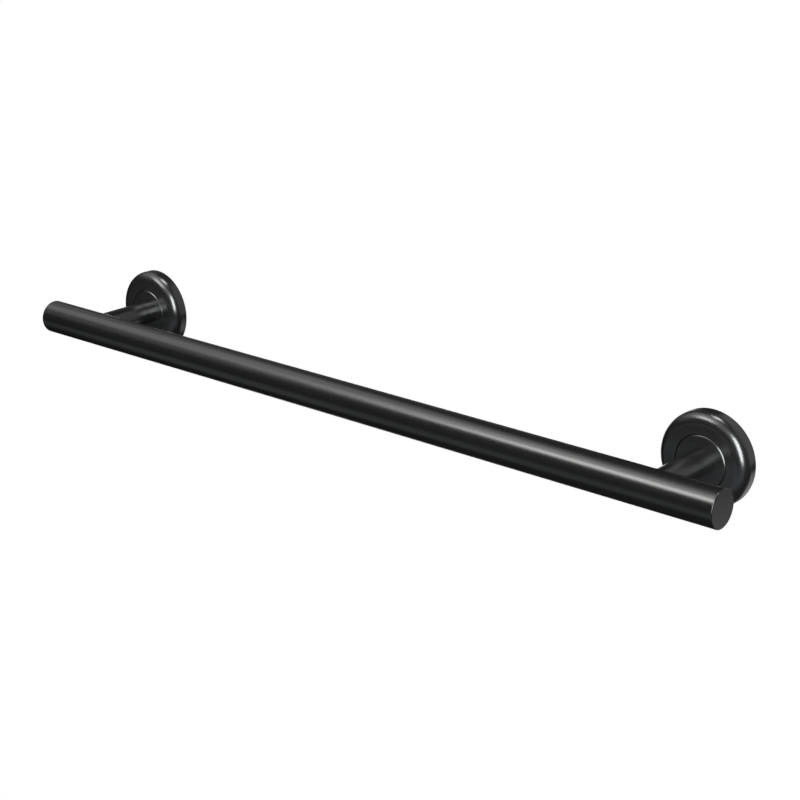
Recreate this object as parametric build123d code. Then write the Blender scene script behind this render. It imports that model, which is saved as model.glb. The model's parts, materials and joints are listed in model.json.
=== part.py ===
from build123d import *
import os

# A straight grab bar on two posts, screwed to the wall through round flanges that push-on covers hide.
# Millimetres. +X runs along the bar, +Y into the wall and +Z up. The origin lies on the wall, midway
# between the two posts.

# Bar and posts
bar_length = 610.0  # over the end caps
bar_diameter = 25.0
bar_wall = 1.5
bar_overhang = 49.0  # from the centre of a post to the end of the bar
hand_clearance = 54.5  # from the wall to the back of the bar
post_diameter = 18.0
post_wall = 2.0
weld_leg = 1.5  # bead round each post where it meets the bar

# End caps
cap_head = 2.0
cap_edge_chamfer = 0.6
cap_spigot_length = 8.0
cap_spigot_wall = 2.0
cap_spigot_lead = 0.5  # chamfer that starts the spigot in the tube

# Covers: a pressed dome with a flat face, a round shoulder and a straight flank down to the wall
cover_diameter = 63.6
cover_depth = 12.8
cover_sheet = 1.0
cover_shoulder_radius = 7.6

# Wall flanges: a screw plate with a raised hub that stands flush in the face of the cover
hub_diameter = 35.4
hub_edge_chamfer = 0.4
plate_thickness = 4.0
plate_edge_chamfer = 0.5
weld_recess_depth = 5.0  # sinks the weld round the foot of the post below the wall face
weld_recess_margin = 4.5

# Wall screws, three to a flange, with one on the side towards the end of the bar
screw_count = 3
screw_hole_diameter = 5.5
screw_head_diameter = 9.0
screw_head_angle = 90.0

# Clearances
ring_gap = 0.4  # between the hub and the hole in the cover
push_fit = 0.2  # between the edge of the plate and the flank of the cover, on the radius

# Sizes that follow
bar_radius = bar_diameter / 2
bar_bore_radius = bar_radius - bar_wall
bar_axis_y = -(hand_clearance + bar_radius)
post_radius = post_diameter / 2
post_x = bar_length / 2 - bar_overhang
hub_radius = hub_diameter / 2
rim_radius = cover_diameter / 2
plate_radius = rim_radius - cover_sheet - push_fit
screw_circle_radius = (hub_radius + plate_radius) / 2


def along_bar(solid):
    """Turns a solid drawn up the Z axis so that it lies along the axis of the bar."""
    return Pos(0, bar_axis_y, 0) * Rot(0, 90, 0) * solid


def make_bar_tube():
    """The grip tube, as long as the bar less the heads of its caps."""
    length = bar_length - 2 * cap_head
    return along_bar(Cylinder(bar_radius, length) - Cylinder(bar_bore_radius, length))


def make_end_cap():
    """The cap at the +X end: a flat head with a bevelled rim, and a hollow spigot in the bore."""
    spigot_bore_radius = bar_bore_radius - cap_spigot_wall
    inner_end = -cap_head - cap_spigot_length
    outline = Polyline(
        (0, 0),
        (bar_radius - cap_edge_chamfer, 0),
        (bar_radius, -cap_edge_chamfer),
        (bar_radius, -cap_head),
        (bar_bore_radius, -cap_head),
        (bar_bore_radius, inner_end + cap_spigot_lead),
        (bar_bore_radius - cap_spigot_lead, inner_end),
        (spigot_bore_radius, inner_end),
        (spigot_bore_radius, -cap_head),
        (0, -cap_head),
        close=True,
    )
    cap = revolve(Plane.XZ * make_face(outline), Axis.Z)
    return along_bar(Pos(0, 0, bar_length / 2) * cap)


def make_post():
    """The +X post: a tube that passes through the hub and is coped and welded to the back of the bar."""
    length = -bar_axis_y - weld_recess_depth
    rod = Rot(-90, 0, 0) * Cylinder(post_radius, length, align=(Align.CENTER, Align.CENTER, Align.MIN))
    bore_radius = post_radius - post_wall
    bore = Rot(-90, 0, 0) * Cylinder(bore_radius, length, align=(Align.CENTER, Align.CENTER, Align.MIN))
    bar = Rot(0, 90, 0) * Cylinder(bar_radius, 2 * bar_diameter)
    joined = bar + rod
    saddle = joined.edges().filter_by(lambda edge: edge.geom_type not in (GeomType.LINE, GeomType.CIRCLE))
    post = chamfer(saddle, weld_leg) - bar - bore
    return Pos(post_x, bar_axis_y, 0) * post


def make_wall_flange():
    """The +X flange: plate and hub turned in one, bored for the post and drilled for the wall screws."""
    recess_radius = post_radius + weld_recess_margin
    outline = Polyline(
        (recess_radius, 0),
        (plate_radius, 0),
        (plate_radius, plate_edge_chamfer - plate_thickness),
        (plate_radius - plate_edge_chamfer, -plate_thickness),
        (hub_radius, -plate_thickness),
        (hub_radius, hub_edge_chamfer - cover_depth),
        (hub_radius - hub_edge_chamfer, -cover_depth),
        (post_radius, -cover_depth),
        (post_radius, -weld_recess_depth),
        (recess_radius, -weld_recess_depth),
        close=True,
    )
    turned = revolve(make_face(outline), Axis.Y)
    front = Plane((0, -plate_thickness, 0), x_dir=(1, 0, 0), z_dir=(0, -1, 0))
    with BuildPart() as flange:
        add(turned)
        with Locations(front):
            with PolarLocations(screw_circle_radius, screw_count):
                CounterSinkHole(
                    screw_hole_diameter / 2,
                    screw_head_diameter / 2,
                    depth=plate_thickness,
                    counter_sink_angle=screw_head_angle,
                )
    return Pos(post_x, 0, 0) * flange.part


def make_cover():
    """The +X cover: an even sheet, spun from a section with a round shoulder, open at the hub and the wall."""
    hole_radius = hub_radius + ring_gap
    outer_face = Vector(rim_radius - cover_shoulder_radius, -cover_depth)
    outer_flank = Vector(rim_radius, cover_shoulder_radius - cover_depth)
    inner_face = outer_face + Vector(0, cover_sheet)
    inner_flank = outer_flank - Vector(cover_sheet, 0)
    outward = (1, 0)
    outline = [
        Line((hole_radius, -cover_depth), outer_face),
        TangentArc(outer_face, outer_flank, tangent=outward),
        Polyline(outer_flank, (rim_radius, 0), (inner_flank.X, 0), inner_flank),
        TangentArc(inner_face, inner_flank, tangent=outward),
        Polyline(inner_face, (hole_radius, cover_sheet - cover_depth), (hole_radius, -cover_depth)),
    ]
    return Pos(post_x, 0, 0) * revolve(make_face(outline), Axis.Y)


def main():
    """Writes the tube, then each piece of the +X end and its twin turned half round to the -X end."""
    os.makedirs("parts", exist_ok=True)
    export_step(make_bar_tube(), "parts/bar_tube.step")
    end_pieces = {
        "end_cap": make_end_cap(),
        "post": make_post(),
        "wall_flange": make_wall_flange(),
        "cover": make_cover(),
    }
    for name, solid in end_pieces.items():
        export_step(solid, f"parts/{name}_right.step")
        export_step(Rot(0, 180, 0) * solid, f"parts/{name}_left.step")


main()
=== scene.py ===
"""A straight grab bar in satin black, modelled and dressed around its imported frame.

Metres throughout. +X runs along the bar, +Y into the wall and +Z up. The origin lies on the wall, midway
between the two posts. A piece that both ends have is modelled at the right-hand end, and a copy of it is
turned half round for the left.
"""

import json
import logging
import math
from dataclasses import dataclass
from enum import Enum
from typing import Callable

import bmesh
import bpy
from mathutils import Matrix, Vector

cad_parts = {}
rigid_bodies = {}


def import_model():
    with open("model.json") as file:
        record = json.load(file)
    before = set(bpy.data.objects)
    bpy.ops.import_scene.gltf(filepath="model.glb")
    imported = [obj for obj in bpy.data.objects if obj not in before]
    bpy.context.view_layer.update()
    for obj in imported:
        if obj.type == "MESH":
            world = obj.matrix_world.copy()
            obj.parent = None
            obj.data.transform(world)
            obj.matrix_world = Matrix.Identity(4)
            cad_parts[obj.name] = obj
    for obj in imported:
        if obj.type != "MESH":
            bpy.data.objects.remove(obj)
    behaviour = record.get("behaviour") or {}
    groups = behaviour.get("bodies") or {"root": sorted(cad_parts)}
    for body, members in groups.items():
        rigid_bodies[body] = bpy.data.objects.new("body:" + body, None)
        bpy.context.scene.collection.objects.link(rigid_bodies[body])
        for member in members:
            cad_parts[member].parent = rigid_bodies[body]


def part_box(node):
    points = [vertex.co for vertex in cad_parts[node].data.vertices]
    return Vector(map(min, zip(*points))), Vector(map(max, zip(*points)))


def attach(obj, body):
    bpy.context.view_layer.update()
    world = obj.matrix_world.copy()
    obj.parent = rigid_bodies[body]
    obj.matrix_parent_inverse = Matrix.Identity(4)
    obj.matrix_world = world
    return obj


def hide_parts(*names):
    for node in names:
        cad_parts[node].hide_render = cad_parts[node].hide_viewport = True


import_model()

LOG = logging.getLogger("grab_bar")

QUARTER_TURN = math.pi / 2
HALF_TURN = math.pi
FULL_TURN = 2 * math.pi
DEGREES_ROUND = 360
NEAR = 1e-6
CREASE = math.radians(32)

WHITE = (1, 1, 1, 1)
DRIFT_DETAIL = 4
DRIFT_LOW = 0.3
DRIFT_HIGH = 0.7
PEEL_DETAIL = 2
SWEEP_MIDDLE = 0.5

Outline = list[tuple[float, float]]
Tone = tuple[float, float, float]


class Body(Enum):
    """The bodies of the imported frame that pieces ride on."""

    RAIL = "rail"
    LEFT_COVER = "left_cover"
    RIGHT_COVER = "right_cover"


class Slot(Enum):
    """The finishes that the record names."""

    BAR = "black_bar"
    FLANGE = "black_flange"
    COVER = "black_cover"


@dataclass(frozen=True)
class Place:
    """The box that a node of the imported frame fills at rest."""

    low: Vector
    high: Vector

    @classmethod
    def of(cls, node: str) -> "Place":
        """Reads the box of a node from the frame."""
        return cls(*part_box(node))

    @property
    def centre(self) -> Vector:
        """The middle of the box."""
        return (self.low + self.high) / 2

    @property
    def size(self) -> Vector:
        """The three lengths of the box."""
        return self.high - self.low


class Bench:
    """Hand tools: each does one thing to one piece, with nothing else selected."""

    @staticmethod
    def take(piece: bpy.types.Object) -> None:
        """Makes a piece the only one selected, and the active one.

        Args:
            piece: The piece to take.
        """
        for other in bpy.context.view_layer.objects:
            other.select_set(False)
        piece.select_set(True)
        bpy.context.view_layer.objects.active = piece

    @staticmethod
    def settle(name: str) -> bpy.types.Object:
        """Names the primitive just added, and moves its place and turn into its mesh.

        Args:
            name: The name of the piece.

        Returns:
            The piece, at the origin, unturned and unscaled.
        """
        piece = bpy.context.active_object
        piece.name = piece.data.name = name
        Bench.take(piece)
        bpy.ops.object.transform_apply(location=True, rotation=True, scale=True)
        return piece

    @staticmethod
    def edit(piece: bpy.types.Object) -> None:
        """Opens a piece in edit mode with nothing in it selected.

        Args:
            piece: The piece to open.
        """
        Bench.take(piece)
        bpy.ops.object.mode_set(mode="EDIT")
        bpy.ops.mesh.select_mode(type="VERT")
        bpy.ops.mesh.select_all(action="DESELECT")

    @staticmethod
    def leave() -> None:
        """Goes back to object mode."""
        bpy.ops.object.mode_set(mode="OBJECT")

    @staticmethod
    def pick(test: Callable[[Vector], bool]) -> None:
        """Selects, in edit mode, the vertices that pass a test and what lies wholly between them.

        Args:
            test: Takes a vertex's place and says whether it is wanted.
        """
        mesh = bpy.context.edit_object.data
        shape = bmesh.from_edit_mesh(mesh)
        for vertex in shape.verts:
            vertex.select_set(test(vertex.co))
        shape.select_flush_mode()
        bmesh.update_edit_mesh(mesh)

    @staticmethod
    def pick_circle(axis_x: float, radius: float, depth: float) -> None:
        """Selects one circle of a turned piece.

        Args:
            axis_x: Where the piece's axis crosses the wall.
            radius: The circle's radius.
            depth: Its place along the axis.
        """
        def on_circle(spot: Vector) -> bool:
            """Whether a vertex lies on the circle."""
            reach = math.hypot(spot.x - axis_x, spot.z)
            return abs(spot.y - depth) < NEAR and abs(reach - radius) < NEAR

        bpy.ops.mesh.select_all(action="DESELECT")
        Bench.pick(on_circle)

    @staticmethod
    def pull(step: Vector) -> None:
        """Extrudes what is selected by one step."""
        bpy.ops.mesh.extrude_region_move(TRANSFORM_OT_translate={"value": tuple(step)})

    @staticmethod
    def close_up() -> None:
        """Merges doubled vertices all over and turns the faces outwards, in edit mode."""
        bpy.ops.mesh.select_all(action="SELECT")
        bpy.ops.mesh.remove_doubles(threshold=NEAR)
        bpy.ops.mesh.normals_make_consistent(inside=False)

    @staticmethod
    def fit(piece: bpy.types.Object, kind: str, **settings: object) -> None:
        """Adds a modifier to a piece and applies it.

        Args:
            piece: The piece to change.
            kind: The modifier's type.
            settings: Values for the modifier's properties.
        """
        Bench.take(piece)
        modifier = piece.modifiers.new(kind.lower(), kind)
        for key, value in settings.items():
            setattr(modifier, key, value)
        bpy.ops.object.modifier_apply(modifier=modifier.name)

    @staticmethod
    def smooth(piece: bpy.types.Object) -> None:
        """Shades a piece smooth except across its creases."""
        Bench.take(piece)
        bpy.ops.object.shade_smooth_by_angle(angle=CREASE)

    @staticmethod
    def turn_on_lathe(name: str, outline: Outline, axis_x: float, steps: int) -> bpy.types.Object:
        """Turns a closed outline about an axis square to the wall.

        Args:
            name: The name of the piece.
            outline: Radius and depth of each point, in order round the section.
            axis_x: Where the axis crosses the wall.
            steps: How many faces go round the piece.

        Returns:
            The turned piece.
        """
        points = [Vector((axis_x + radius, depth, 0)) for radius, depth in outline]
        bpy.ops.mesh.primitive_plane_add(size=outline[0][0], location=points[0])
        piece = Bench.settle(name)
        Bench.edit(piece)
        bpy.ops.mesh.select_all(action="SELECT")
        bpy.ops.mesh.merge(type="CENTER")
        for here, there in zip(points, points[1:]):
            Bench.pull(there - here)
        bpy.ops.mesh.select_all(action="DESELECT")
        ends = (points[0], points[-1])
        Bench.pick(lambda place: any((place - end).length < NEAR for end in ends))
        bpy.ops.mesh.edge_face_add()
        bpy.ops.mesh.select_all(action="SELECT")
        bpy.ops.mesh.spin(steps=steps, angle=FULL_TURN, center=(axis_x, 0, 0), axis=(0, 1, 0))
        Bench.close_up()
        Bench.leave()
        return piece

    @staticmethod
    def turned_twin(piece: bpy.types.Object, name: str) -> bpy.types.Object:
        """Copies a right-hand piece with its own mesh, turned half round to the left-hand end.

        Args:
            piece: The right-hand piece.
            name: The name of the left-hand one.

        Returns:
            The left-hand piece.
        """
        Bench.take(piece)
        bpy.ops.object.duplicate(linked=False)
        bpy.ops.transform.rotate(value=HALF_TURN, orient_axis="Y", center_override=(0, 0, 0))
        return Bench.settle(name)


def arc(centre: tuple[float, float], radius: float, start: float, turn: float, steps: int) -> Outline:
    """Points along an arc of an outline, both ends included.

    Args:
        centre: Radius and depth of the arc's centre.
        radius: The arc's own radius.
        start: The angle of its first point, in radians.
        turn: How far it goes from there.
        steps: How many straight steps stand for it.

    Returns:
        The points, in order.
    """
    angles = [start + turn * step / steps for step in range(steps + 1)]
    return [
        (centre[0] + radius * math.cos(angle), centre[1] + radius * math.sin(angle))
        for angle in angles
    ]


@dataclass(frozen=True)
class CoatFinish:
    """A satin black powder coat under a clear lacquer.

    Its colour and gloss drift a little from place to place, over a fine orange peel.
    """

    name: str
    light_tone: Tone
    dark_tone: Tone
    gloss_roughness: float
    dull_roughness: float
    specular: float
    lacquer_roughness: float
    drift_size: float
    peel_size: float
    peel_depth: float = 5e-7
    lacquer: float = 1.0

    def material(self) -> bpy.types.Material:
        """Builds the material, unless another sub-assembly has built it already.

        Returns:
            The material, which reads object coordinates.
        """
        if self.name in bpy.data.materials:
            return bpy.data.materials[self.name]
        material = bpy.data.materials.new(self.name)
        material.use_nodes = True
        nodes, links = material.node_tree.nodes, material.node_tree.links
        shader = nodes["Principled BSDF"]
        shader.inputs["Specular IOR Level"].default_value = self.specular
        shader.inputs["Coat Weight"].default_value = self.lacquer
        shader.inputs["Coat Roughness"].default_value = self.lacquer_roughness
        where = nodes.new("ShaderNodeTexCoord")
        placed = nodes.new("ShaderNodeMapping")
        coat = nodes.new("ShaderNodeGroup")
        coat.node_tree = powder_coat_group()
        coat.inputs["Light Tone"].default_value = (*self.light_tone, 1)
        coat.inputs["Dark Tone"].default_value = (*self.dark_tone, 1)
        coat.inputs["Gloss Roughness"].default_value = self.gloss_roughness
        coat.inputs["Dull Roughness"].default_value = self.dull_roughness
        coat.inputs["Drift Scale"].default_value = 1 / self.drift_size
        coat.inputs["Peel Scale"].default_value = 1 / self.peel_size
        bump = nodes.new("ShaderNodeBump")
        bump.inputs["Distance"].default_value = self.peel_depth
        links.new(where.outputs["Object"], placed.inputs["Vector"])
        links.new(placed.outputs["Vector"], coat.inputs["Place"])
        links.new(coat.outputs["Colour"], shader.inputs["Base Color"])
        links.new(coat.outputs["Roughness"], shader.inputs["Roughness"])
        links.new(coat.outputs["Peel"], bump.inputs["Height"])
        links.new(bump.outputs["Normal"], shader.inputs["Normal"])
        return material


def powder_coat_group() -> bpy.types.NodeTree:
    """The shader node group that all the coats share, built once.

    Returns:
        A group that gives a drifting colour and roughness, and the height of the orange peel.
    """
    name = "powder_coat"
    if name in bpy.data.node_groups:
        return bpy.data.node_groups[name]
    group = bpy.data.node_groups.new(name, "ShaderNodeTree")
    sockets = group.interface
    sockets.new_socket("Place", in_out="INPUT", socket_type="NodeSocketVector")
    for tone in ("Light Tone", "Dark Tone"):
        sockets.new_socket(tone, in_out="INPUT", socket_type="NodeSocketColor")
    for value in ("Gloss Roughness", "Dull Roughness", "Drift Scale", "Peel Scale"):
        sockets.new_socket(value, in_out="INPUT", socket_type="NodeSocketFloat")
    sockets.new_socket("Colour", in_out="OUTPUT", socket_type="NodeSocketColor")
    for value in ("Roughness", "Peel"):
        sockets.new_socket(value, in_out="OUTPUT", socket_type="NodeSocketFloat")
    nodes, links = group.nodes, group.links
    entry = nodes.new("NodeGroupInput")
    leave = nodes.new("NodeGroupOutput")

    drift = nodes.new("ShaderNodeTexNoise")
    drift.inputs["Detail"].default_value = DRIFT_DETAIL
    spread = nodes.new("ShaderNodeMapRange")
    spread.inputs["From Min"].default_value = DRIFT_LOW
    spread.inputs["From Max"].default_value = DRIFT_HIGH
    tone = nodes.new("ShaderNodeMix")
    tone.data_type = "RGBA"
    sheen = nodes.new("ShaderNodeMix")
    peel = nodes.new("ShaderNodeTexNoise")
    peel.inputs["Detail"].default_value = PEEL_DETAIL

    links.new(entry.outputs["Place"], drift.inputs["Vector"])
    links.new(entry.outputs["Place"], peel.inputs["Vector"])
    links.new(entry.outputs["Drift Scale"], drift.inputs["Scale"])
    links.new(entry.outputs["Peel Scale"], peel.inputs["Scale"])
    links.new(drift.outputs["Fac"], spread.inputs["Value"])
    # A mix node repeats its socket names for values, vectors and colours, so they go by number.
    colour_factor, colour_a, colour_b = tone.inputs[0], tone.inputs[6], tone.inputs[7]
    links.new(spread.outputs["Result"], colour_factor)
    links.new(entry.outputs["Light Tone"], colour_a)
    links.new(entry.outputs["Dark Tone"], colour_b)
    value_factor, value_a, value_b = sheen.inputs[0], sheen.inputs[2], sheen.inputs[3]
    links.new(spread.outputs["Result"], value_factor)
    links.new(entry.outputs["Gloss Roughness"], value_a)
    links.new(entry.outputs["Dull Roughness"], value_b)
    mixed_colour, mixed_value = tone.outputs[2], sheen.outputs[0]
    links.new(mixed_colour, leave.inputs["Colour"])
    links.new(mixed_value, leave.inputs["Roughness"])
    links.new(peel.outputs["Fac"], leave.inputs["Peel"])
    return group


@dataclass
class SubAssembly:
    """What the sub-assemblies share: a finish, and how their pieces join the frame."""

    finish: CoatFinish
    slot: Slot

    def __post_init__(self) -> None:
        """Builds the finish for all the pieces."""
        self.coat = self.finish.material()

    def dress(self, piece: bpy.types.Object, node: str, body: Body) -> None:
        """Gives a piece its coat and puts it in the place of a node.

        Args:
            piece: The finished piece.
            node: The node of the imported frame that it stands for.
            body: The body that it moves with.
        """
        piece.data.materials.clear()
        piece.data.materials.append(self.coat)
        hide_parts(node)
        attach(piece, body.value)
        LOG.info("%s: %d faces, for %s on %s", piece.name, len(piece.data.polygons), node, body.value)


@dataclass
class GripRail(SubAssembly):
    """The grip tube and the caps that close its two ends."""

    tube_wall: float = 0.0015
    facets: int = 192
    cap_rim_round: float = 0.0006
    cap_rim_steps: int = 5
    cap_face_border: float = 0.0002
    spigot_length: float = 0.008
    spigot_wall: float = 0.002
    spigot_lead: float = 0.0005

    def build(self) -> None:
        """Models and dresses the tube and its caps."""
        self.dress(self.tube(), "bar_tube", Body.RAIL)
        cap = self.cap()
        self.dress(Bench.turned_twin(cap, "tube_cap_left"), "end_cap_left", Body.RAIL)
        self.dress(cap, "end_cap_right", Body.RAIL)

    def tube(self) -> bpy.types.Object:
        """Models the grip tube: an open cylinder, given its wall inwards.

        Returns:
            The tube.
        """
        place = Place.of("bar_tube")
        bpy.ops.mesh.primitive_cylinder_add(
            vertices=self.facets,
            radius=place.size.z / 2,
            depth=place.size.x,
            end_fill_type="NOTHING",
            location=place.centre,
            rotation=(0, QUARTER_TURN, 0),
        )
        tube = Bench.settle("grip_tube")
        Bench.fit(tube, "SOLIDIFY", thickness=self.tube_wall, offset=-1, use_even_offset=True)
        Bench.smooth(tube)
        return tube

    def cap(self) -> bpy.types.Object:
        """Models the right-hand cap: a head with a rounded rim, and a hollow spigot in the bore.

        Returns:
            The cap.
        """
        tube, cap_place = Place.of("bar_tube"), Place.of("end_cap_right")
        radius = tube.size.z / 2
        root, tip = tube.high.x, cap_place.high.x
        along = Vector((1, 0, 0))
        bpy.ops.mesh.primitive_circle_add(
            vertices=self.facets,
            radius=radius,
            fill_type="NGON",
            location=(root, tube.centre.y, 0),
            rotation=(0, QUARTER_TURN, 0),
        )
        cap = Bench.settle("tube_cap_right")
        Bench.edit(cap)
        bpy.ops.mesh.select_all(action="SELECT")
        Bench.pull(along * (tip - root))
        self.face_at(tip)
        bpy.ops.mesh.bevel(offset=self.cap_rim_round, segments=self.cap_rim_steps, affect="EDGES")
        self.face_at(tip)
        bpy.ops.mesh.inset(thickness=self.cap_face_border)
        self.face_at(root)
        bpy.ops.mesh.inset(thickness=self.tube_wall)
        Bench.pull(-along * (self.spigot_length - self.spigot_lead))
        Bench.pull(-along * self.spigot_lead)
        shrink = 1 - self.spigot_lead / (radius - self.tube_wall)
        bpy.ops.transform.resize(value=(1, shrink, shrink))
        bpy.ops.mesh.inset(thickness=self.spigot_wall - self.spigot_lead)
        Bench.pull(along * self.spigot_length)
        Bench.close_up()
        Bench.leave()
        Bench.smooth(cap)
        return cap

    @staticmethod
    def face_at(x: float) -> None:
        """Selects the flat round face at a place along the bar."""
        bpy.ops.mesh.select_all(action="DESELECT")
        Bench.pick(lambda place: abs(place.x - x) < NEAR)


@dataclass
class Posts(SubAssembly):
    """The two posts, each coped to the back of the bar and filleted to it by its weld."""

    radius: float = 0.009
    wall: float = 0.002
    facets: int = 128
    weld_leg: float = 0.0015
    weld_steps: int = 6
    weld_bite: float = 0.00005

    def build(self) -> None:
        """Models and dresses both posts."""
        post = self.post()
        self.dress(Bench.turned_twin(post, "coped_post_left"), "post_left", Body.RAIL)
        self.dress(post, "post_right", Body.RAIL)

    def post(self) -> bpy.types.Object:
        """Models the right-hand post: down the bore, round the foot, up the outside and over the weld.

        Returns:
            The post.
        """
        bar, place = Place.of("bar_tube"), Place.of("post_right")
        bore_radius = self.radius - self.wall
        welds = [self.weld_reach(step, bar.size.z / 2) for step in range(self.weld_steps + 1)]
        centre = Vector((place.centre.x, bar.high.y + self.weld_leg, 0))
        shank = Vector((0, place.high.y - centre.y, 0))
        bpy.ops.mesh.primitive_circle_add(
            vertices=self.facets,
            radius=bore_radius,
            fill_type="NOTHING",
            location=centre,
            rotation=(QUARTER_TURN, 0, 0),
        )
        post = Bench.settle("coped_post_right")
        Bench.edit(post)
        bpy.ops.mesh.select_all(action="SELECT")
        Bench.pull(shank)
        self.widen((bore_radius, bore_radius), welds[0], centre)
        Bench.pull(-shank)
        for reach, wider in zip(welds, welds[1:]):
            self.widen(reach, wider, centre)
        rings = [(bore_radius, bore_radius), *welds]
        for reach in rings:
            self.mark_ring(post, reach, centre)
        self.pick_rings(post, [0, len(rings) - 1])
        bpy.ops.mesh.bridge_edge_loops()
        Bench.leave()
        self.seat_rings(post)
        post.vertex_groups.clear()
        Bench.smooth(post)
        return post

    def weld_reach(self, step: int, bar_radius: float) -> tuple[float, float]:
        """How far a ring of the weld reaches from the axis of the post.

        Args:
            step: The ring, counted from the post outwards.
            bar_radius: The radius of the bar, which falls away on both sides of the post.

        Returns:
            The reach along the bar, and the reach across it.
        """
        out = self.weld_leg * (1 - math.cos(QUARTER_TURN * step / self.weld_steps))
        fall = math.cos(math.asin(self.radius / bar_radius))
        return self.radius + out, self.radius + out * fall

    @staticmethod
    def widen(reach: tuple[float, float], wider: tuple[float, float], centre: Vector) -> None:
        """Extrudes the selected ring outwards in its own plane.

        Args:
            reach: The ring's reach along the bar and across it.
            wider: The new ring's.
            centre: A point on the axis of the post.
        """
        Bench.pull(Vector())
        scale = (wider[0] / reach[0], 1, wider[1] / reach[1])
        bpy.ops.transform.resize(value=scale, center_override=centre)

    @staticmethod
    def mark_ring(post: bpy.types.Object, reach: tuple[float, float], centre: Vector) -> None:
        """Keeps a ring of the plane next to the bar as a vertex group.

        Args:
            post: The post, in edit mode.
            reach: The ring's reach along the bar and across it.
            centre: The middle of the ring.
        """
        def on_ring(spot: Vector) -> bool:
            """Whether a vertex lies on the ring."""
            across = Vector(((spot.x - centre.x) / reach[0], spot.z / reach[1]))
            return abs(spot.y - centre.y) < NEAR and abs(across.length - 1) < NEAR / reach[0]

        Bench.pick(on_ring)
        post.vertex_groups.active_index = post.vertex_groups.new(name="ring").index
        bpy.ops.object.vertex_group_assign()

    @staticmethod
    def pick_rings(post: bpy.types.Object, rings: list[int]) -> None:
        """Selects rings by the numbers of their vertex groups.

        Args:
            post: The post, in edit mode.
            rings: The numbers of the rings.
        """
        bpy.ops.mesh.select_all(action="DESELECT")
        for ring in rings:
            post.vertex_groups.active_index = ring
            bpy.ops.object.vertex_group_select()

    def seat_rings(self, post: bpy.types.Object) -> None:
        """Drops the rings on the back of the bar, then lifts those of the weld to make its fillet.

        Args:
            post: The post, with a vertex group for the end of its bore and one for each weld ring.
        """
        for ring in [group.name for group in post.vertex_groups]:
            Bench.fit(
                post,
                "SHRINKWRAP",
                target=bpy.data.objects["grip_tube"],
                vertex_group=ring,
                wrap_method="PROJECT",
                use_project_y=True,
                use_positive_direction=False,
                use_negative_direction=True,
            )
        Bench.edit(post)
        for step in range(self.weld_steps + 1):
            self.pick_rings(post, [step + 1])
            lift = self.weld_leg * (1 - math.sin(QUARTER_TURN * step / self.weld_steps))
            bpy.ops.transform.translate(value=(0, lift - self.weld_bite, 0))
        Bench.close_up()
        Bench.leave()


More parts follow.
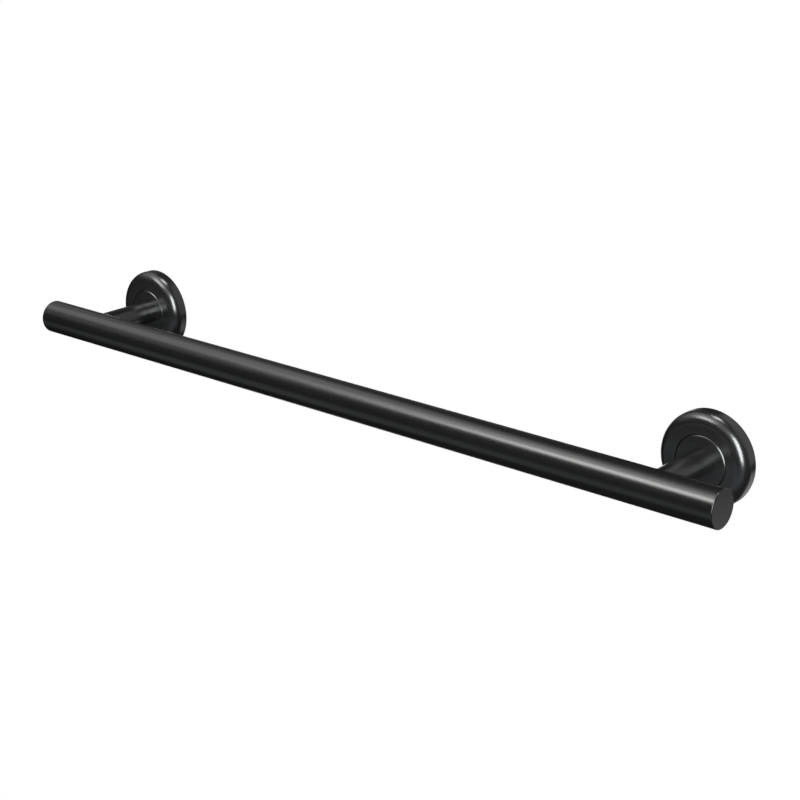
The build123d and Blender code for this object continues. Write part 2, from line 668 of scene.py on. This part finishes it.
@dataclass
class WallFlanges(SubAssembly):
    """The two wall flanges: a screw plate, and a hub that shows in the face of the cover."""

    facets: int = 160
    hub_radius: float = 0.0177
    hub_chamfer: float = 0.0005
    plate_thickness: float = 0.004
    plate_round: float = 0.0005
    round_steps: int = 5
    flat_border: float = 0.0003
    bore_radius: float = 0.009
    recess_radius: float = 0.0135
    recess_depth: float = 0.005
    screw_count: int = 3
    screw_hole_radius: float = 0.00275
    screw_head_radius: float = 0.0045
    screw_facets: int = 48
    overcut: float = 0.001

    def build(self) -> None:
        """Models and dresses both flanges."""
        flange = self.flange()
        self.dress(Bench.turned_twin(flange, "hub_flange_left"), "wall_flange_left", Body.RAIL)
        self.dress(flange, "wall_flange_right", Body.RAIL)

    def flange(self) -> bpy.types.Object:
        """Models the right-hand flange: turned in one, then drilled and countersunk.

        Returns:
            The flange.
        """
        place = Place.of("wall_flange_right")
        flange = Bench.turn_on_lathe("hub_flange_right", self.outline(place), place.centre.x, self.facets)
        circle = (self.hub_radius + place.size.x / 2) / 2
        drill = self.countersink(Vector((place.centre.x + circle, -self.plate_thickness, 0)))
        for _ in range(self.screw_count):
            Bench.fit(flange, "BOOLEAN", operation="DIFFERENCE", object=drill, solver="EXACT")
            Bench.take(drill)
            bpy.ops.transform.rotate(
                value=FULL_TURN / self.screw_count,
                orient_axis="Y",
                center_override=(place.centre.x, 0, 0),
            )
        bpy.data.meshes.remove(drill.data)
        Bench.edit(flange)
        bpy.ops.mesh.select_all(action="SELECT")
        bpy.ops.mesh.dissolve_degenerate(threshold=NEAR)
        Bench.close_up()
        Bench.leave()
        Bench.smooth(flange)
        return flange

    def outline(self, place: Place) -> Outline:
        """The flange's section, from the recess at the wall outwards and round by the hub.

        Args:
            place: The box of the flange's node.

        Returns:
            Radius and depth of each point.
        """
        plate_radius, hub_face = place.size.x / 2, place.low.y
        plate_face = -self.plate_thickness
        plate_edge = (plate_radius - self.plate_round, plate_face + self.plate_round)
        hub_flat = self.hub_radius - self.hub_chamfer
        return [
            (self.recess_radius, 0),
            (plate_radius, 0),
            *arc(plate_edge, self.plate_round, 0, -QUARTER_TURN, self.round_steps),
            (self.hub_radius, plate_face),
            (self.hub_radius, hub_face + self.hub_chamfer),
            (hub_flat, hub_face),
            (hub_flat - self.flat_border, hub_face),
            (self.bore_radius, hub_face),
            (self.bore_radius, -self.recess_depth),
            (self.recess_radius, -self.recess_depth),
        ]

    def countersink(self, mouth: Vector) -> bpy.types.Object:
        """Models the drill for one screw hole: a cone down to the hole, and the hole past the wall face.

        Args:
            mouth: The middle of the hole's mouth on the face of the plate.

        Returns:
            The drill.
        """
        cone = self.screw_head_radius - self.screw_hole_radius
        into = Vector((0, 1, 0))
        bpy.ops.mesh.primitive_circle_add(
            vertices=self.screw_facets,
            radius=self.screw_hole_radius,
            fill_type="NGON",
            location=mouth + into * (self.plate_thickness + self.overcut),
            rotation=(QUARTER_TURN, 0, 0),
        )
        drill = Bench.settle("countersink")
        Bench.edit(drill)
        bpy.ops.mesh.select_all(action="SELECT")
        Bench.pull(-into * (self.plate_thickness + self.overcut - cone))
        Bench.pull(-into * (cone + self.overcut))
        widest = (self.screw_head_radius + self.overcut) / self.screw_hole_radius
        bpy.ops.transform.resize(value=(widest, 1, widest), center_override=mouth)
        Bench.close_up()
        Bench.leave()
        return drill


@dataclass
class Covers(SubAssembly):
    """The two sliding covers: an even sheet with a flat face, a round shoulder and a straight flank."""

    facets: int = 192
    hole_radius: float = 0.0181
    sheet: float = 0.001
    shoulder_radius: float = 0.0076
    shoulder_steps: int = 24
    edge_round: float = 0.0003
    edge_steps: int = 3
    flat_border: float = 0.0006

    def build(self) -> None:
        """Models and dresses both covers, each on its own slide."""
        cover = self.cover()
        self.dress(Bench.turned_twin(cover, "domed_cover_left"), "cover_left", Body.LEFT_COVER)
        self.dress(cover, "cover_right", Body.RIGHT_COVER)

    def cover(self) -> bpy.types.Object:
        """Models the right-hand cover: turned from its section, with its sharp edges rounded.

        Returns:
            The cover.
        """
        place = Place.of("cover_right")
        cover = Bench.turn_on_lathe("domed_cover_right", self.outline(place), place.centre.x, self.facets)
        Bench.edit(cover)
        for radius, depth in ((self.hole_radius, place.low.y), (place.size.x / 2, 0)):
            Bench.pick_circle(place.centre.x, radius, depth)
            bpy.ops.mesh.bevel(offset=self.edge_round, segments=self.edge_steps, affect="EDGES")
        Bench.leave()
        Bench.smooth(cover)
        return cover

    def outline(self, place: Place) -> Outline:
        """The cover's section: out over the front of the sheet to the wall, then back behind it.

        A narrow border ends each flat part, so that the rounds beside it don't tint its shading.

        Args:
            place: The box of the cover's node.

        Returns:
            Radius and depth of each point.
        """
        rim, face = place.size.x / 2, place.low.y
        bend = (rim - self.shoulder_radius, face + self.shoulder_radius)
        inner_radius = self.shoulder_radius - self.sheet
        return [
            (self.hole_radius, face),
            (self.hole_radius + self.flat_border, face),
            (bend[0] - self.flat_border, face),
            *arc(bend, self.shoulder_radius, -QUARTER_TURN, QUARTER_TURN, self.shoulder_steps),
            (rim, bend[1] + self.flat_border),
            (rim, -self.flat_border),
            (rim, 0),
            (rim - self.sheet, 0),
            *arc(bend, inner_radius, 0, -QUARTER_TURN, self.shoulder_steps),
            (self.hole_radius, face + self.sheet),
        ]


@dataclass(frozen=True)
class SoftBox:
    """A rectangular lamp that faces the origin, in degrees, metres and watts."""

    name: str
    azimuth: float
    elevation: float
    width: float
    height: float
    power: float
    distance: float = 2.0
    colour: Tone = (1, 1, 1)

    def light(self) -> None:
        """Sets the lamp up, aimed at the origin."""
        away = direction(self.azimuth, self.elevation)
        bpy.ops.object.light_add(type="AREA", location=away * self.distance)
        lamp = bpy.context.active_object
        lamp.name = self.name
        lamp.rotation_mode = "QUATERNION"
        lamp.rotation_quaternion = away.to_track_quat("Z", "Y")
        lamp.data.shape = "RECTANGLE"
        lamp.data.size, lamp.data.size_y = self.width, self.height
        lamp.data.energy = self.power
        lamp.data.color = self.colour


def direction(azimuth: float, elevation: float) -> Vector:
    """Points away from the origin: azimuth 0 is straight in front of the bar, 90 off its right end.

    Args:
        azimuth: Degrees round from the front.
        elevation: Degrees above the horizon.

    Returns:
        A vector of length one.
    """
    turn, rise = math.radians(azimuth), math.radians(elevation)
    return Vector((math.sin(turn) * math.cos(rise), -math.cos(turn) * math.cos(rise), math.sin(rise)))


@dataclass
class Studio:
    """The floor, the light and the camera.

    Angles are in degrees, and the camera's sensor is in millimetres.
    """

    floor_drop: float = 16.0
    floor_size: float = 350.0
    floor_tone: Tone = (0.3, 0.3, 0.297)
    floor_roughness: float = 0.9
    ambient: float = 0.008
    white_sector: float = 14.0
    white_fade: float = 4.0
    white_start: float = 29.0
    white_rise: float = 5.0
    azimuth: float = 41.2895
    elevation: float = 19.3831
    roll: float = -0.5065
    distance: float = 1.19952
    target: tuple[float, float, float] = (0.020886, -0.023585, -0.009052)
    focal_pixels: float = 1722.077
    picture_pixels: float = 800.0
    sensor: float = 36.0

    def build(self) -> None:
        """Sets up the floor, the world, the lamps and the camera."""
        self.floor()
        self.world()
        for box in SOFT_BOXES:
            box.light()
        self.camera()

    def floor(self) -> None:
        """Lays a grey floor far below the bar, which the camera sees as white.

        Reflections see the same white on the part of the floor that fills the picture behind the bar.
        """
        bpy.ops.mesh.primitive_plane_add(size=self.floor_size, location=(0, 0, -self.floor_drop))
        floor = Bench.settle("floor")
        material = bpy.data.materials.new("grey_floor")
        material.use_nodes = True
        nodes, links = material.node_tree.nodes, material.node_tree.links
        shader = nodes["Principled BSDF"]
        shader.inputs["Base Color"].default_value = (*self.floor_tone, 1)
        shader.inputs["Roughness"].default_value = self.floor_roughness
        shader.inputs["Emission Color"].default_value = WHITE
        path = nodes.new("ShaderNodeLightPath")
        mirrored = self.math_node(nodes, "MAXIMUM")
        behind = self.math_node(nodes, "MULTIPLY")
        white = self.math_node(nodes, "MAXIMUM")
        links.new(path.outputs["Is Glossy Ray"], mirrored.inputs[0])
        links.new(path.outputs["Is Transmission Ray"], mirrored.inputs[1])
        links.new(mirrored.outputs[0], behind.inputs[0])
        links.new(self.picture_sector(nodes, links), behind.inputs[1])
        links.new(behind.outputs[0], white.inputs[0])
        links.new(path.outputs["Is Camera Ray"], white.inputs[1])
        links.new(white.outputs[0], shader.inputs["Emission Strength"])
        floor.data.materials.append(material)

    def picture_sector(
        self,
        nodes: bpy.types.Nodes,
        links: bpy.types.NodeLinks,
    ) -> bpy.types.NodeSocket:
        """Marks the sector of the floor that lies behind the bar in the picture.

        Args:
            nodes: The nodes of the floor's material.
            links: Their links.

        Returns:
            A socket that gives 1 in the sector and fades to 0 beside it and below the bar.
        """
        where = nodes.new("ShaderNodeTexCoord")
        turned = nodes.new("ShaderNodeMapping")
        turned.inputs["Rotation"].default_value = (0, 0, -QUARTER_TURN - math.radians(self.azimuth))
        sweep = nodes.new("ShaderNodeTexGradient")
        sweep.gradient_type = "RADIAL"
        off_middle = self.math_node(nodes, "SUBTRACT")
        off_middle.inputs[1].default_value = SWEEP_MIDDLE
        aside = self.math_node(nodes, "ABSOLUTE")
        fade = nodes.new("ShaderNodeMapRange")
        fade.interpolation_type = "SMOOTHSTEP"
        fade.inputs["From Min"].default_value = (self.white_sector + self.white_fade) / DEGREES_ROUND
        fade.inputs["From Max"].default_value = self.white_sector / DEGREES_ROUND
        reach = nodes.new("ShaderNodeVectorMath")
        reach.operation = "LENGTH"
        rise = nodes.new("ShaderNodeMapRange")
        rise.interpolation_type = "SMOOTHSTEP"
        rise.inputs["From Min"].default_value = self.white_start - self.white_rise
        rise.inputs["From Max"].default_value = self.white_start
        both = self.math_node(nodes, "MULTIPLY")
        links.new(where.outputs["Object"], turned.inputs["Vector"])
        links.new(turned.outputs["Vector"], sweep.inputs["Vector"])
        links.new(sweep.outputs["Fac"], off_middle.inputs[0])
        links.new(off_middle.outputs[0], aside.inputs[0])
        links.new(aside.outputs[0], fade.inputs["Value"])
        links.new(turned.outputs["Vector"], reach.inputs[0])
        links.new(reach.outputs["Value"], rise.inputs["Value"])
        links.new(fade.outputs["Result"], both.inputs[0])
        links.new(rise.outputs["Result"], both.inputs[1])
        return both.outputs[0]

    @staticmethod
    def math_node(nodes: bpy.types.Nodes, operation: str) -> bpy.types.Node:
        """Adds a math node.

        Args:
            nodes: The nodes to add it to.
            operation: What it does.

        Returns:
            The node.
        """
        node = nodes.new("ShaderNodeMath")
        node.operation = operation
        return node

    def world(self) -> None:
        """Gives the studio a dim surround that the camera sees as white."""
        world = bpy.data.worlds.new("surround")
        world.use_nodes = True
        bpy.context.scene.world = world
        nodes, links = world.node_tree.nodes, world.node_tree.links
        backdrop = nodes["Background"]
        backdrop.inputs["Color"].default_value = WHITE
        path = nodes.new("ShaderNodeLightPath")
        level = nodes.new("ShaderNodeMapRange")
        level.inputs["To Min"].default_value = self.ambient
        links.new(path.outputs["Is Camera Ray"], level.inputs["Value"])
        links.new(level.outputs["Result"], backdrop.inputs["Strength"])

    def camera(self) -> None:
        """Places the camera as the picture was taken."""
        back = direction(self.azimuth, self.elevation)
        side = Vector((0, 0, 1)).cross(back).normalized()
        up = back.cross(side)
        bpy.ops.object.camera_add(location=Vector(self.target) + back * self.distance)
        camera = bpy.context.active_object
        lean = Matrix.Rotation(math.radians(self.roll), 3, back)
        camera.rotation_euler = (lean @ Matrix((side, up, back)).transposed()).to_euler()
        camera.data.sensor_width = self.sensor
        camera.data.lens = self.sensor * self.focal_pixels / self.picture_pixels
        bpy.context.scene.camera = camera


SATIN_BAR = CoatFinish(
    name="satin_black_bar",
    light_tone=(0.0139, 0.0141, 0.0138),
    dark_tone=(0.0119, 0.0121, 0.0119),
    gloss_roughness=0.245,
    dull_roughness=0.27,
    specular=0.95,
    lacquer_roughness=0.24,
    drift_size=0.03,
    peel_size=0.0008,
)
# The flange and the cover are set lighter than the bar's black as painted light: it lifts their flat
# faces where the bar and the posts shade them.
SATIN_FLANGE = CoatFinish(
    name="satin_black_flange",
    light_tone=(0.0165, 0.0166, 0.0166),
    dark_tone=(0.0143, 0.0145, 0.0145),
    gloss_roughness=0.25,
    dull_roughness=0.28,
    specular=0.95,
    lacquer_roughness=0.25,
    drift_size=0.02,
    peel_size=0.0008,
)
SATIN_COVER = CoatFinish(
    name="satin_black_cover",
    light_tone=(0.0189, 0.019, 0.019),
    dark_tone=(0.0165, 0.0167, 0.0168),
    gloss_roughness=0.235,
    dull_roughness=0.255,
    specular=1.0,
    lacquer_roughness=0.23,
    drift_size=0.02,
    peel_size=0.001,
)

SOFT_BOXES = (
    # The first two numbers are azimuth and elevation.
    SoftBox("key_box", -29, 47.6, width=1.0, height=0.52, power=6.8, colour=(1, 1, 0.97)),
    SoftBox("upper_key_box", -35, 58.5, width=1.8, height=0.85, power=4.5),
    SoftBox("glow_box", -33, 61, width=4.4, height=1.6, power=9.4),
    SoftBox("left_box", -84, 35, width=2.6, height=1.2, power=1.65),
    SoftBox("front_box", 50, 18, width=2.0, height=4.1, power=236.0, distance=5, colour=(0.96, 0.985, 1)),
    SoftBox("top_box", -152, 83.5, width=1.8, height=1.8, power=64.0, distance=6, colour=(1, 0.98, 0.95)),
    SoftBox("back_box", 146, 22, width=3.0, height=2.7, power=6.3),
    SoftBox("low_left_box", -34, -30, width=2.0, height=0.95, power=0.82, colour=(0.9, 0.95, 1)),
    SoftBox("low_right_box", 27, -30, width=2.7, height=0.75, power=1.27, colour=(0.87, 0.92, 1)),
    SoftBox("rim_box", -128, 14, width=1.6, height=1.0, power=0.27),
    SoftBox("flank_box", 161, -35, width=1.5, height=0.9, power=1.68),
)


def main() -> None:
    """Builds the grab bar and its studio."""
    logging.basicConfig(level=logging.INFO, format="%(name)s: %(message)s")
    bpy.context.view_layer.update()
    GripRail(SATIN_BAR, Slot.BAR).build()
    Posts(SATIN_BAR, Slot.BAR).build()
    WallFlanges(SATIN_FLANGE, Slot.FLANGE).build()
    Covers(SATIN_COVER, Slot.COVER).build()
    Studio().build()
    bpy.context.scene.view_settings.view_transform = "Standard"


if __name__ == "__main__":
    main()
